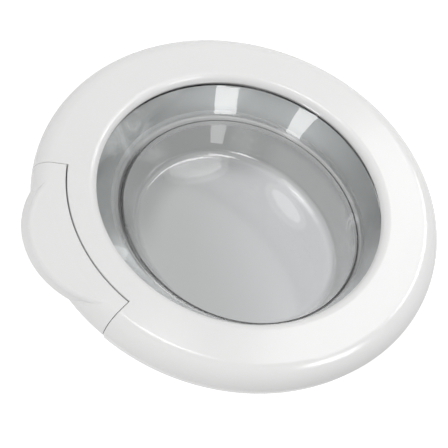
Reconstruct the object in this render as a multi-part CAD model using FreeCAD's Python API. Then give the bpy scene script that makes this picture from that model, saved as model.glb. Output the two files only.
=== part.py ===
import FreeCAD, Part
import math
import os

V = FreeCAD.Vector
os.makedirs("parts", exist_ok=True)

# Millimetres and degrees. d is the distance in front of the cabinet plane, r the distance from the door axis.
# +X is the handle side, -X the hinge side, +Z up, and the front faces -Y.

# Front ring, from the opening outward
opening_r = 146.0
crest_inset = 9.0
flange_overlap = 12.5
hinge_space = 4.5
hinge_depth = 30.0
hinge_inset = 16.0
crest_r = opening_r + crest_inset
flange_r = opening_r + flange_overlap
hinge_x = -(flange_r + hinge_space + hinge_depth)
rim_r = hinge_inset - hinge_x
lip_d = 31.0
lip_land = 1.6
crest_d = 37.0
rim_d = 16.0
rim_round = 20.0
skirt_taper = 3.0
skirt_r = rim_r - skirt_taper
rear_d = 6.0
shell_wall = 2.8
seat_width = 5.5
seat_r = opening_r + seat_width
seat_thicker = 0.9

# Clearances shared by mating pieces
run_fit = 0.05
press_fit = 0.02
screw_clearance = 0.2
frame_gap = 0.2
part_gap = 0.4
flange_gap = 1.0
overlap = 1.0

# Ring that keeps the glass flange in the middle
locating_rib_r = flange_r + flange_gap
locating_rib_wall = 2.2
locating_rib_rear_d = 22.0

# Handle and its seam
lever_depth = 33.8
seam_r = rim_r - lever_depth
seam_gap = 1.5
seam_half_angle = 27.45
seam_end_gap = 0.8
seam_chamfer = 0.5
pocket_wall = 2.8
pocket_end_wall = 2.2
handle_wall = 2.6
handle_rear_d = 13.0
grip_front_r = 86.5
grip_front_bulge = 12.5
grip_front_x = rim_r + grip_front_bulge - grip_front_r
grip_front_z = 3.0
grip_front_d = 35.0
grip_flare = 7.9
grip_rear_r = grip_front_r + grip_flare
grip_rear_bulge = 14.9
grip_rear_x = rim_r + grip_rear_bulge - grip_rear_r
grip_rear_z = -7.0
grip_rear_d = 16.0
grip_drop = 0.12
grip_front_round = 3.5
grip_rear_round = 1.5
grip_wall = 3.2
grip_root = 3.0
grip_hollow_root = 4.0
handle_pin_r = 2.0
handle_pin_inset = 5.3
handle_pin_x = seam_r + handle_pin_inset
handle_pin_d = 31.0
handle_lug_z = 38.0
handle_lug_width = 7.0
handle_lug_r = 4.0
handle_pin_half_length = handle_lug_z + handle_lug_width + 0.5
saddle_gap = 1.0
saddle_width = 6.0
saddle_z = handle_lug_z - saddle_gap - saddle_width
saddle_reach = 4.0
saddle_lead = 3.7
saddle_slope = 4.6
saddle_lip = 0.6
push_finger_offset = 1.5
push_finger_x = handle_pin_x + push_finger_offset
push_finger_wall = 4.0
push_finger_tip_d = 25.0
push_finger_half_width = 5.0

# Glass bowl: three circles, each with radius, shift toward the hinge, d at its centre and tilt
flange_front_d = 25.0
flange_thickness = 5.0
neck_inset = 1.5
neck_r = opening_r + neck_inset
neck_draft = 20.8
step_r = neck_r - neck_draft
step_shift = 11.9
step_d = -12.6
step_tilt = 4.0
step_ledge = 1.4
well_draft = 14.7
floor_r = step_r - well_draft
floor_shift = 16.6
floor_d = -54.6
floor_tilt = 9.7
floor_round = 13.0
glass_wall = 5.7
gasket_inset = 2.0
gasket_inner_r = opening_r + gasket_inset
gasket_edge = 0.7
gasket_outer_r = flange_r - gasket_edge

# Rear ring
plate_wall = 3.0
plate_r = skirt_r - shell_wall - frame_gap
plate_rim_wall = 2.4
plate_rim_d = 13.5
collar_gap = 1.2
collar_wall = 2.6
seat_wall_inset = 4.0
seat_wall_r = flange_r - seat_wall_inset
seat_wall = 3.0
pad_d = 12.0
pad_margin = 1.0
bead_inset = 9.0
bead_width = 3.0
bead_height = 1.2
guide_height = 2.5
guide_half_width = 12.0
guide_margin = 4.5
slot_margin = 2.0

# Screws that join the two rings
boss_inset = 21.0
boss_pcd_r = rim_r - boss_inset
boss_angles = (45.0, 75.0, 105.0, 135.0, 225.0, 255.0, 285.0, 315.0)
boss_r = 4.5
well_r = 6.0
screw_r = 2.0
screw_head_r = 3.8
screw_head_height = 2.4
frame_screw_length = 16.0
well_depth = 3.0
recess_depth = 1.3

# Latch
hook_pin_offset = 5.5
hook_pin_x = handle_pin_x + hook_pin_offset
hook_pin_d = 17.0
hook_pin_r = 2.0
hook_pin_head_r = 3.4
hook_pin_head = 1.4
hook_pin_tail = 2.6
clip_scale = 1.75
waist_scale = 0.75
clip_wall = 1.0
hook_half_width = 4.0
hook_tip_d = -29.0
hook_nose_reach = 10.5
hook_nose_x = hook_pin_x + hook_nose_reach
hook_catch_d = -19.5
hook_shank_in = 3.0
hook_shank_out = 3.5
hook_shank_x0 = hook_pin_x - hook_shank_in
hook_shank_x1 = hook_pin_x + hook_shank_out
hook_arm_height = 10.0
hook_arm_wall = 2.6
hook_boss_r = 5.0
hook_swing_room = 3.5
groove_width = 3.0
groove_depth = 1.0
groove_margin = 4.2
push_gap = 0.35
cheek_z = 9.5
cheek_wall = 2.5
cheek_r = 5.0
carrier_base = 2.5
carrier_in = 10.0
carrier_out = 9.0
carrier_strip = 4.0
carrier_half_length = 27.0
carrier_screw_z = 20.0
spring_wire_r = 0.5
spring_coil_r = 3.5
spring_half_turns = 7
spring_leg = 4.3

# Hinge
hinge_d = 21.0
hinge_pin_r = 3.0
hinge_pin_head_r = 4.6
hinge_pin_head = 2.0
hinge_pin_tail = 3.0
barrel_r = 6.5
barrel_half = 23.6
bush_r = 4.6
bush_length = 12.0
bush_flange_r = 6.3
bush_flange = 0.8
ear_gap = 0.2
ear_width = 7.0
ear_back = 4.0
arm_half_width = 15.0
arm_wall = 5.0
arm_chamfer = 2.0
arm_set = 2.0
bracket_plate = 3.5
bracket_width = 20.0
bracket_x1 = hinge_x + hinge_depth
bracket_x0 = bracket_x1 - bracket_width
web_x = bracket_x1 - arm_set
bracket_half_height = 38.0
bracket_corner_r = 5.0
bracket_hole_x = 0.5 * (bracket_x0 + bracket_x1)
bracket_hole_z = 28.0
bracket_hole_r = 2.75
bracket_sink_r = 5.0
gusset_height = 7.0
gusset_wall = 3.0
leaf_x0 = hinge_x - 1.0
leaf_x1 = hinge_x + hinge_depth - 1.0
leaf_half_height = 44.0
leaf_wall = 3.0
leaf_corner_r = 4.0
bridge_gap = 0.7
bridge_width = 15.0
leaf_bridge_d = hinge_d + barrel_r + bridge_gap
leaf_bridge_x = hinge_x + bridge_width
leaf_screw_r = 2.5
leaf_screw_head_r = 4.5
leaf_screw_inset = 6.5
leaf_screw_pitch = 16.0
leaf_screw_x = (hinge_x + leaf_screw_inset, hinge_x + leaf_screw_inset + leaf_screw_pitch)
leaf_screw_edge = 6.0
leaf_screw_z = leaf_half_height - leaf_screw_edge
window_gap = 0.5
window_x = bracket_x1 + window_gap
window_half = arm_half_width + 3.5
notch_d = 15.0
notch_x = hinge_x - ear_back


def pt(r, d, z=0.0):
    return V(r, -d, z)


def line(a, b):
    return Part.makeLine(a, b)


def arc(a, m, b):
    return Part.Arc(a, m, b).toShape()


def polygon(points):
    return Part.Face(Part.makePolygon(list(points) + [points[0]]))


def turned(face, start=0.0, sweep=360.0):
    """Turn a section of the XY plane about the door axis, from +X toward +Z."""
    section = face.copy()
    section.rotate(V(0, 0, 0), V(0, -1, 0), start)
    return section.revolve(V(0, 0, 0), V(0, -1, 0), sweep)


def ring(r_in, r_out, d_rear, d_front, start=0.0, sweep=360.0):
    corners = [pt(r_in, d_rear), pt(r_out, d_rear), pt(r_out, d_front), pt(r_in, d_front)]
    return turned(polygon(corners), start, sweep)


def post(radius, x, z, d_rear, d_front):
    """Cylinder along the door axis."""
    return Part.makeCylinder(radius, d_front - d_rear, pt(x, d_rear, z), V(0, -1, 0))


def rod(radius, x, d, z0, z1):
    """Cylinder along Z."""
    return Part.makeCylinder(radius, z1 - z0, pt(x, d, z0), V(0, 0, 1))


def block(x0, x1, d0, d1, z0, z1):
    return Part.makeBox(x1 - x0, d1 - d0, z1 - z0, V(x0, -d1, z0))


def prism(points, z0, z1):
    """Outline given as (x, d) pairs, extruded along Z."""
    return polygon([pt(x, d, z0) for x, d in points]).extrude(V(0, 0, z1 - z0))


def polar(r, angle, d=0.0):
    a = math.radians(angle)
    return pt(r * math.cos(a), d, r * math.sin(a))


def union(first, others):
    return first.fuse(others).removeSplitter()


def save(shape, name):
    solids = shape.Solids
    out = solids[0] if len(solids) == 1 else Part.makeCompound(solids)
    out.exportStep("parts/" + name + ".step")


# Section of the front ring: lip arc, straight face falling slightly, rim arc, skirt.
face_fall = (crest_d - rim_d - rim_round) / (rim_r - rim_round - crest_r)
face_angle = math.atan(face_fall)
rim_c = (rim_r - rim_round, rim_d)
rim_start = (rim_c[0] + rim_round * math.sin(face_angle), rim_c[1] + rim_round * math.cos(face_angle))


def face_d(r):
    """d of the straight face at radius r."""
    return rim_start[1] + face_fall * (rim_start[0] - r)


def on_rim(radius, angle):
    a = math.radians(angle)
    return pt(rim_c[0] + radius * math.cos(a), rim_c[1] + radius * math.sin(a))


def lip_arc():
    """Arc from the lip edge to the crest, tangent to the straight face."""
    nx = math.sin(face_angle)
    ny = math.cos(face_angle)
    dx = opening_r - crest_r
    dy = lip_d - face_d(crest_r)
    radius = -(dx * dx + dy * dy) / (2.0 * (dx * nx + dy * ny))
    cx = crest_r - radius * nx
    cd = face_d(crest_r) - radius * ny
    a0 = math.atan2(lip_d - cd, opening_r - cx)
    a1 = math.atan2(ny, nx)
    mid = 0.5 * (a0 + a1)
    through = pt(cx + radius * math.cos(mid), cd + radius * math.sin(mid))
    return arc(pt(opening_r, lip_d), through, pt(crest_r, face_d(crest_r)))


def skirt_radius(d):
    return skirt_r + (rim_r - skirt_r) * (d - rear_d) / (rim_d - rear_d)


def ring_section():
    top = 90.0 - math.degrees(face_angle)
    inner = rim_round - shell_wall
    in_start = on_rim(inner, top)
    lip_rear = lip_d - lip_land
    return Part.Face(Part.Wire([
        line(pt(opening_r, lip_rear), pt(opening_r, lip_d)),
        lip_arc(),
        line(pt(crest_r, face_d(crest_r)), on_rim(rim_round, top)),
        arc(on_rim(rim_round, top), on_rim(rim_round, top / 2.0), on_rim(rim_round, 0.0)),
        line(on_rim(rim_round, 0.0), pt(skirt_r, rear_d)),
        line(pt(skirt_r, rear_d), pt(skirt_r - shell_wall, rear_d)),
        line(pt(skirt_r - shell_wall, rear_d), on_rim(inner, 0.0)),
        arc(on_rim(inner, 0.0), on_rim(inner, top / 2.0), in_start),
        line(in_start, pt(seat_r, face_d(seat_r) - shell_wall - seat_thicker)),
        line(pt(seat_r, face_d(seat_r) - shell_wall - seat_thicker), pt(seat_r, lip_rear)),
        line(pt(seat_r, lip_rear), pt(opening_r, lip_rear)),
    ]))


def boss_places():
    return [polar(boss_pcd_r, a) for a in boss_angles]


def saddles():
    """Two ribs in the handle pocket with open bearings for the handle pin."""
    top = handle_pin_d + saddle_lip
    x0 = seam_r - pocket_wall - part_gap
    x1 = handle_pin_x + saddle_reach
    outline = [(x0, pad_d), (x1, pad_d), (x1, top), (handle_pin_x - saddle_lead, top),
               (x0, top - saddle_slope)]
    out = []
    bore = handle_pin_r + run_fit
    for z in (saddle_z, -saddle_z - saddle_width):
        rib = prism(outline, z, z + saddle_width)
        rib = rib.cut(rod(bore, handle_pin_x, handle_pin_d, z, z + saddle_width))
        slot = block(handle_pin_x - bore, handle_pin_x + bore, handle_pin_d, top + overlap,
                     z, z + saddle_width)
        out.append(rib.cut(slot))
    return out


def make_outer_frame():
    body = turned(ring_section())
    under_face = face_d(seam_r) - 0.6 * shell_wall
    rib = ring(locating_rib_r, locating_rib_r + locating_rib_wall, locating_rib_rear_d, under_face)
    posts = [post(boss_r, p.x, p.z, pad_d, under_face) for p in boss_places()]
    far_r = 1.2 * rim_r
    far_d = 1.5 * crest_d
    opening = polygon([
        pt(seam_r, 0.0), pt(seam_r, face_d(seam_r) - seam_chamfer), pt(seam_r - seam_chamfer, face_d(seam_r)),
        pt(seam_r - seam_chamfer, far_d), pt(far_r, far_d), pt(far_r, 0.0)])
    body = body.cut(turned(opening, -seam_half_angle, 2.0 * seam_half_angle))
    end_sweep = math.degrees(pocket_end_wall / boss_pcd_r)
    sunk = rim_round - 0.5 * shell_wall
    clear_r = plate_r - plate_rim_wall - part_gap
    clear_d = plate_rim_d + part_gap
    end_wall = polygon([
        pt(seam_r - pocket_wall, pad_d), pt(clear_r, pad_d), pt(clear_r, clear_d),
        pt(skirt_radius(clear_d) - 0.5 * shell_wall, clear_d), on_rim(sunk, 0.0), on_rim(sunk, 22.0),
        on_rim(sunk, 44.0), on_rim(sunk, 66.0), on_rim(sunk, 86.0),
        pt(seam_r - pocket_wall, face_d(seam_r) - 0.5 * shell_wall)])
    walls = [
        turned(end_wall, seam_half_angle, end_sweep),
        turned(end_wall, -seam_half_angle - end_sweep, end_sweep),
        ring(seam_r - pocket_wall, seam_r, pad_d, under_face - overlap,
             -seam_half_angle - end_sweep, 2.0 * (seam_half_angle + end_sweep)),
        ring(seam_r - pocket_wall, seam_r - seam_chamfer, under_face - 2.0 * overlap, under_face,
             -seam_half_angle - end_sweep, 2.0 * (seam_half_angle + end_sweep)),
    ]
    body = union(body, [rib] + posts + walls + saddles())
    hole_end = pad_d + frame_screw_length - overlap
    cuts = [post(screw_r + run_fit, p.x, p.z, pad_d, hole_end) for p in boss_places()]
    cuts.append(block(-1.05 * rim_r, notch_x, 0.0, notch_d, -window_half, window_half))
    return body.cut(Part.makeCompound(cuts))


def handle_section():
    top = 90.0 - math.degrees(face_angle)
    inner = rim_round - handle_wall
    start_r = seam_r + seam_gap
    low = skirt_radius(handle_rear_d)
    corner = pt(start_r, face_d(start_r) - seam_chamfer)
    face_start = pt(start_r + seam_chamfer, face_d(start_r + seam_chamfer))
    return Part.Face(Part.Wire([
        line(pt(start_r, face_d(start_r) - handle_wall), corner),
        line(corner, face_start),
        line(face_start, on_rim(rim_round, top)),
        arc(on_rim(rim_round, top), on_rim(rim_round, top / 2.0), on_rim(rim_round, 0.0)),
        line(on_rim(rim_round, 0.0), pt(low, handle_rear_d)),
        line(pt(low, handle_rear_d), pt(low - handle_wall, handle_rear_d)),
        line(pt(low - handle_wall, handle_rear_d), on_rim(inner, 0.0)),
        arc(on_rim(inner, 0.0), on_rim(inner, top / 2.0), on_rim(inner, top)),
        line(on_rim(inner, top), pt(start_r, face_d(start_r) - handle_wall)),
    ]))


def grip_circle(inset, d):
    """Centre x, centre z and radius of the grip's slanting outer wall at height d."""
    t = (d - grip_rear_d) / (grip_front_d - grip_rear_d)
    x = grip_rear_x + t * (grip_front_x - grip_rear_x)
    z = grip_rear_z + t * (grip_front_z - grip_rear_z)
    return x, z, grip_rear_r + t * (grip_front_r - grip_rear_r) - inset


def grip_block(inset, drop, d_rear, half):
    """Skewed cone that stays under the ring's face, lowered by drop, drawn in by inset."""
    r0 = 0.5 * seam_r
    r1 = 1.1 * (grip_rear_x + grip_rear_r)
    under = polygon([pt(r0, d_rear), pt(r1, d_rear), pt(r1, face_d(r1) - drop), pt(r0, face_d(r0) - drop)])
    rims = []
    for d in (d_rear, 1.15 * crest_d):
        x, z, radius = grip_circle(inset, d)
        rims.append(Part.Wire([Part.makeCircle(radius, pt(x, d, z), V(0, 1, 0))]))
    return Part.makeLoft(rims, True, True).common(turned(under, -half, 2.0 * half))


def grip_edges(shape, front):
    """Long edges on the grip's outer wall, at its front or at its rear."""
    found = []
    for e in shape.Edges:
        mid = e.valueAt(0.5 * (e.FirstParameter + e.LastParameter))
        x, z, radius = grip_circle(0.0, -mid.y)
        on_wall = abs(math.hypot(mid.x - x, mid.z - z) - radius) < 0.01
        in_front = -mid.y > 0.5 * (grip_front_d + grip_rear_d)
        if on_wall and e.Length > 0.5 * grip_rear_r and in_front == front:
            found.append(e)
    return found


def handle_lugs():
    """Two eyes for the pin and the finger that pushes the hook, all under the lever's face."""
    under = face_d(handle_pin_x) - 0.5 * handle_wall
    out = []
    for z in (handle_lug_z, -handle_lug_z - handle_lug_width):
        eye = prism([(handle_pin_x - handle_lug_r, handle_pin_d), (handle_pin_x - handle_lug_r, under),
                     (handle_pin_x + handle_lug_r, under), (handle_pin_x + handle_lug_r, handle_pin_d)],
                    z, z + handle_lug_width)
        lower = rod(handle_lug_r, handle_pin_x, handle_pin_d, z, z + handle_lug_width).cut(
            block(handle_pin_x - 2.0 * handle_lug_r, handle_pin_x + 2.0 * handle_lug_r, handle_pin_d,
                  handle_pin_d + 2.0 * handle_lug_r, z - overlap, z + handle_lug_width + overlap))
        out.append(eye.fuse(lower))
    x0 = push_finger_x - push_finger_wall
    tip_x = push_finger_x - 0.5 * push_finger_wall
    finger = [(x0, under), (x0, handle_pin_d - 1.5 * handle_pin_r), (tip_x, push_finger_tip_d),
              (push_finger_x, push_finger_tip_d), (push_finger_x, under)]
    out.append(prism(finger, -push_finger_half_width, push_finger_half_width))
    return out


def make_handle():
    end = math.degrees(seam_end_gap / boss_pcd_r)
    half = seam_half_angle - end
    shell = turned(handle_section(), -half, 2.0 * half)
    for piece in handle_lugs():
        shell = shell.fuse(piece)
    grip = grip_block(0.0, grip_drop, grip_rear_d, half - end)
    grip = grip.makeFillet(grip_front_round, grip_edges(grip, True))
    grip = grip.makeFillet(grip_rear_round, grip_edges(grip, False))
    below = handle_rear_d - 2.0 * overlap
    grip = grip.cut(post(rim_c[0] - grip_root, 0.0, 0.0, below, 1.2 * crest_d))
    hollow = grip_block(grip_wall, grip_wall, below, half - 4.0 * end)
    hollow = hollow.cut(post(rim_c[0] - grip_hollow_root, 0.0, 0.0, below - overlap, 1.2 * crest_d))
    reach = handle_pin_half_length + overlap
    bore = rod(handle_pin_r + press_fit, handle_pin_x, handle_pin_d, -reach, reach)
    return shell.fuse(grip).cut(hollow).cut(bore)


def disc(radius, shift, d, tilt):
    """Circle whose start points line up from one to the next, tilted deeper toward the hinge."""
    centre = pt(-shift, d)
    c = Part.makeCircle(radius, centre, V(0, 1, 0))
    c.rotate(centre, V(0, 0, 1), -tilt)
    return Part.Wire([c])


def ruled(first, second):
    return Part.makeLoft([first, second], True, True)


def lowest_rim(shape):
    """Closed edge round the floor: the one whose middle lies deepest."""
    rims = [e for e in shape.Edges if e.isClosed()]
    return max(rims, key=lambda e: e.BoundBox.Center.y)


def tilted_offset(shift, d, tilt, depth):
    """Centre of a circle moved deeper along its own normal."""
    a = math.radians(tilt)
    return shift - depth * math.sin(a), d - depth * math.cos(a)


def neck_outside(extra):
    """Solid bounded by the outside of the neck, grown by extra."""
    return ruled(disc(neck_r + glass_wall + extra, 0.0, flange_front_d, 0.0),
                 disc(step_r + glass_wall + extra, step_shift, step_d, step_tilt))


def make_glass():
    neck_in = ruled(disc(neck_r, 0.0, flange_front_d, 0.0), disc(step_r, step_shift, step_d, step_tilt))
    well_in = ruled(disc(step_r - step_ledge, step_shift, step_d, step_tilt),
                    disc(floor_r, floor_shift, floor_d, floor_tilt))
    well_in = well_in.makeFillet(floor_round, [lowest_rim(well_in)])
    shift_out, d_out = tilted_offset(floor_shift, floor_d, floor_tilt, glass_wall)
    well_out = ruled(disc(step_r + glass_wall, step_shift, step_d, step_tilt),
                     disc(floor_r + 0.7 * glass_wall, shift_out, d_out, floor_tilt))
    well_out = well_out.makeFillet(floor_round + 0.7 * glass_wall, [lowest_rim(well_out)])
    flange = post(flange_r, 0.0, 0.0, flange_front_d - flange_thickness, flange_front_d)
    body = neck_outside(0.0).fuse([well_out, flange])
    return body.cut(neck_in).cut(well_in)


def make_gasket():
    front = lip_d - lip_land
    return ring(gasket_inner_r, gasket_outer_r, flange_front_d, front)


def well_cuts(x, z, hole_r, head_r):
    return [post(head_r + screw_clearance, x, z, rear_d - overlap, rear_d + well_depth),
            post(hole_r + screw_clearance, x, z, rear_d, pad_d + overlap)]


def hinge_places():
    return [(x, s * leaf_screw_z) for x in leaf_screw_x for s in (1.0, -1.0)]


def carrier_places():
    return [(hook_pin_x, s * carrier_screw_z) for s in (1.0, -1.0)]


def make_inner_frame():
    plate = ring(step_r, plate_r, rear_d, rear_d + plate_wall)
    rim = ring(plate_r - plate_rim_wall, plate_r, rear_d, plate_rim_d)
    seat_d = flange_front_d - flange_thickness
    seat = ring(seat_wall_r, seat_wall_r + seat_wall, rear_d, seat_d)
    collar = neck_outside(collar_gap + collar_wall).common(
        post(rim_r, 0.0, 0.0, floor_d, seat_d))
    bead_r = plate_r - bead_inset
    bead = ring(bead_r, bead_r + bead_width, rear_d - bead_height, rear_d + 0.5 * plate_wall)
    wells = [post(well_r, p.x, p.z, rear_d, pad_d) for p in boss_places()]
    pad_half = leaf_half_height + pad_margin
    hinge_pad = block(leaf_x0 - pad_margin, leaf_x1 + pad_margin, rear_d, pad_d, -pad_half, pad_half)
    reach = post(plate_r - pad_margin, 0.0, 0.0, 0.0, pad_d)
    latch_half = carrier_half_length + 2.0 * pad_margin
    latch_pad = block(seam_r - pocket_wall - frame_gap, plate_r, rear_d, pad_d, -latch_half, latch_half)
    slot_x0 = hook_shank_x0 - hook_swing_room
    slot_x1 = hook_nose_x + slot_margin
    guide = block(slot_x0 - guide_margin, slot_x1 + guide_margin, rear_d - guide_height, rear_d + overlap,
                  -guide_half_width, guide_half_width)
    pads = [piece.common(reach) for piece in (hinge_pad, latch_pad, guide)]
    body = union(plate, [rim, seat, collar, bead] + pads + wells)
    cuts = [neck_outside(collar_gap)]
    for p in boss_places():
        cuts.extend(well_cuts(p.x, p.z, screw_r, screw_head_r))
    for x, z in hinge_places():
        cuts.extend(well_cuts(x, z, leaf_screw_r, leaf_screw_head_r))
    for x, z in carrier_places():
        cuts.extend(well_cuts(x, z, screw_r, screw_head_r))
    cuts.append(block(-rim_r, window_x, 0.0, pad_d + overlap, -window_half, window_half))
    cuts.append(block(-rim_r, hinge_x, 0.0, notch_d, -window_half, window_half))
    cuts.append(block(slot_x0, slot_x1, 0.0, pad_d + overlap, -hook_half_width - slot_margin,
                      hook_half_width + slot_margin))
    for c in cuts:
        body = body.cut(c)
    return body


def make_carrier():
    x0 = hook_pin_x - carrier_in
    x1 = hook_pin_x + carrier_out
    top = pad_d + carrier_base
    body = block(x0, x1, pad_d, top, -carrier_half_length, carrier_half_length)
    for z in (cheek_z, -cheek_z - cheek_wall):
        cheek = block(hook_pin_x - cheek_r, hook_pin_x + cheek_r, pad_d, hook_pin_d, z, z + cheek_wall)
        body = body.fuse([cheek, rod(cheek_r, hook_pin_x, hook_pin_d, z, z + cheek_wall)])
    body = body.removeSplitter()
    cuts = [block(x0 + carrier_strip, x1 + overlap, pad_d - overlap, top + overlap, -cheek_z, cheek_z)]
    head_r = max(hook_pin_head_r, clip_scale * hook_pin_r) + part_gap
    room = max(hook_pin_head, hook_pin_tail) + part_gap
    out = cheek_z + cheek_wall
    for z0, z1 in ((out, out + room), (-out - room, -out)):
        cuts.append(block(hook_pin_x - head_r, hook_pin_x + head_r, hook_pin_d - head_r, hook_pin_d, z0, z1))
    for z0, z1 in ((cheek_z, out), (-out, -cheek_z)):
        cuts.append(rod(hook_pin_r + press_fit, hook_pin_x, hook_pin_d, z0, z1))
    for x, z in carrier_places():
        cuts.append(post(screw_r + run_fit, x, z, pad_d - overlap, top + overlap))
    for c in cuts:
        body = body.cut(c)
    return body


def make_hook():
    arm_x = push_finger_x + push_gap
    arm_d = hook_pin_d + hook_arm_height
    arm = prism([(arm_x, arm_d), (arm_x + hook_arm_wall, arm_d), (hook_shank_x1, hook_pin_d + hook_shank_in),
                 (hook_shank_x1, hook_pin_d - hook_shank_in), (hook_shank_x0, hook_pin_d - hook_shank_in),
                 (arm_x, hook_pin_d + hook_shank_in)], -hook_half_width, hook_half_width)
    shank = prism([(hook_shank_x0, hook_pin_d), (hook_shank_x0, hook_tip_d + 5.0),
                   (hook_shank_x0 + 2.5, hook_tip_d), (hook_shank_x1 - 0.5, hook_tip_d),
                   (hook_nose_x, hook_catch_d - 3.0), (hook_nose_x, hook_catch_d - 0.6),
                   (hook_shank_x1, hook_catch_d), (hook_shank_x1, hook_pin_d)],
                  -hook_half_width, hook_half_width)
    boss = rod(hook_boss_r, hook_pin_x, hook_pin_d, -hook_half_width, hook_half_width)
    body = union(shank, [arm, boss])
    edges = [e for e in body.Edges if abs(e.BoundBox.ZLength) < 1e-6 and e.BoundBox.Center.y > 0.0
             and e.Curve.TypeId == "Part::GeomLine"]
    body = body.makeChamfer(0.6, edges)
    for z in (hook_half_width - groove_depth, -hook_half_width - groove_depth):
        mid = 0.5 * (hook_shank_x0 + hook_shank_x1)
        body = body.cut(block(mid - 0.5 * groove_width, mid + 0.5 * groove_width,
                              hook_catch_d + groove_margin, hook_pin_d - 2.0 * groove_margin,
                              z, z + 2.0 * groove_depth))
    return body.cut(rod(hook_pin_r + run_fit, hook_pin_x, hook_pin_d, -cheek_z, cheek_z))


def headed_pin(radius, x, d, z0, z1, head_r, head, groove_z, groove):
    """Pin along Z with a head at the upper end and a clip groove at the lower end."""
    body = rod(radius, x, d, z0, z1).fuse(rod(head_r, x, d, z1, z1 + head)).removeSplitter()
    waist = rod(2.0 * radius, x, d, groove_z, groove_z + groove).cut(
        rod(waist_scale * radius, x, d, groove_z, groove_z + groove))
    return body.cut(waist)


def clip(radius, x, d, z0, thickness):
    """Open clip seated in a pin groove."""
    inner = waist_scale * radius + press_fit
    body = rod(clip_scale * radius, x, d, z0, z0 + thickness).cut(rod(inner, x, d, z0, z0 + thickness))
    return body.cut(block(x - 0.95 * inner, x + 0.95 * inner, d, d + 3.0 * radius, z0, z0 + thickness))


def make_spring():
    """Torsion spring round the hook pin: slanting half turns and two straight legs."""
    z = hook_half_width + spring_wire_r + frame_gap
    rise = spring_wire_r + 0.5 * frame_gap
    leg = V(0, -spring_leg, 0)
    start = pt(hook_pin_x + spring_coil_r, hook_pin_d - spring_leg, z)
    body = Part.makeCylinder(spring_wire_r, spring_leg, start, leg)
    heading = V(0, -1, 0)
    turns = []
    for i in range(spring_half_turns):
        side = spring_coil_r if i % 2 == 0 else -spring_coil_r
        a = pt(hook_pin_x + side, hook_pin_d, z + i * rise)
        b = pt(hook_pin_x - side, hook_pin_d, z + (i + 1) * rise)
        middle = (a + b) * 0.5
        wire = Part.Face(Part.Wire([Part.makeCircle(spring_wire_r, a, heading)]))
        turns.append(wire.revolve(middle, (a - middle).cross(heading), 180.0))
        heading = heading * -1.0
    turns.append(Part.makeCylinder(spring_wire_r, spring_leg, b, heading))
    return union(body, turns)


def cross_recess(x, z, d, size):
    """Cross slot cut into a screw head from the rear."""
    depth = recess_depth
    width = 0.32 * size
    return [block(x - size, x + size, d - 0.5 * overlap, d + depth, z - width / 2, z + width / 2),
            block(x - width / 2, x + width / 2, d - 0.5 * overlap, d + depth, z - size, z + size)]


def screw(x, z, shank_r, head_r, length):
    """Screw put in from the rear, its head seated in a well."""
    seat = rear_d + well_depth
    head = post(head_r, x, z, seat - screw_head_height, seat)
    body = head.fuse(post(shank_r, x, z, seat, seat + length)).removeSplitter()
    return body.cut(Part.makeCompound(cross_recess(x, z, seat - screw_head_height, 0.55 * head_r)))


def make_bracket():
    barrel = rod(barrel_r, hinge_x, hinge_d, -barrel_half, barrel_half)
    half = arm_wall / 2.0
    elbow = [(hinge_x, hinge_d - half), (hinge_x, hinge_d + half), (web_x - arm_chamfer, hinge_d + half),
             (web_x, hinge_d + half - arm_chamfer), (web_x, 0.0), (web_x - arm_wall, 0.0),
             (web_x - arm_wall, hinge_d - half - arm_chamfer),
             (web_x - arm_wall - arm_chamfer, hinge_d - half)]
    arm = prism(elbow, -arm_half_width, arm_half_width)
    plate = block(bracket_x0, bracket_x1, 0.0, bracket_plate, -bracket_half_height, bracket_half_height)
    corners = [e for e in plate.Edges if e.BoundBox.YLength > 0.9 * bracket_plate]
    plate = plate.makeFillet(bracket_corner_r, corners)
    gussets = []
    foot_x = web_x - 0.9 * arm_wall
    foot_d = 0.85 * bracket_plate
    for z in (arm_half_width - overlap - gusset_wall, -arm_half_width + overlap):
        gussets.append(prism([(foot_x, foot_d), (bracket_x0 + 2.0 * overlap, foot_d),
                              (foot_x, bracket_plate + gusset_height)], z, z + gusset_wall))
    body = union(barrel, [arm, plate] + gussets)
    cuts = [rod(hinge_pin_r + part_gap, hinge_x, hinge_d, -barrel_half - overlap, barrel_half + overlap),
            rod(bush_r + press_fit, hinge_x, hinge_d, barrel_half - bush_length, barrel_half + overlap),
            rod(bush_r + press_fit, hinge_x, hinge_d, -barrel_half - overlap, -barrel_half + bush_length)]
    sink = bracket_sink_r - bracket_hole_r
    for z in (bracket_hole_z, -bracket_hole_z):
        cuts.append(post(bracket_hole_r, bracket_hole_x, z, -overlap, bracket_plate + overlap))
        cuts.append(Part.makeCone(bracket_hole_r, bracket_sink_r, sink,
                                  pt(bracket_hole_x, bracket_plate - sink, z), V(0, -1, 0)))
    for c in cuts:
        body = body.cut(c)
    return body


def make_bush(side):
    inner = barrel_half - bush_length
    low, high = (inner, barrel_half) if side > 0 else (-barrel_half, -inner)
    flange_low = barrel_half if side > 0 else -barrel_half - bush_flange
    body = rod(bush_r, hinge_x, hinge_d, low, high).fuse(
        rod(bush_flange_r, hinge_x, hinge_d, flange_low, flange_low + bush_flange)).removeSplitter()
    return body.cut(rod(hinge_pin_r + run_fit, hinge_x, hinge_d, -2.0 * barrel_half, 2.0 * barrel_half))


def ear_low():
    return barrel_half + bush_flange + ear_gap


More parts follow.
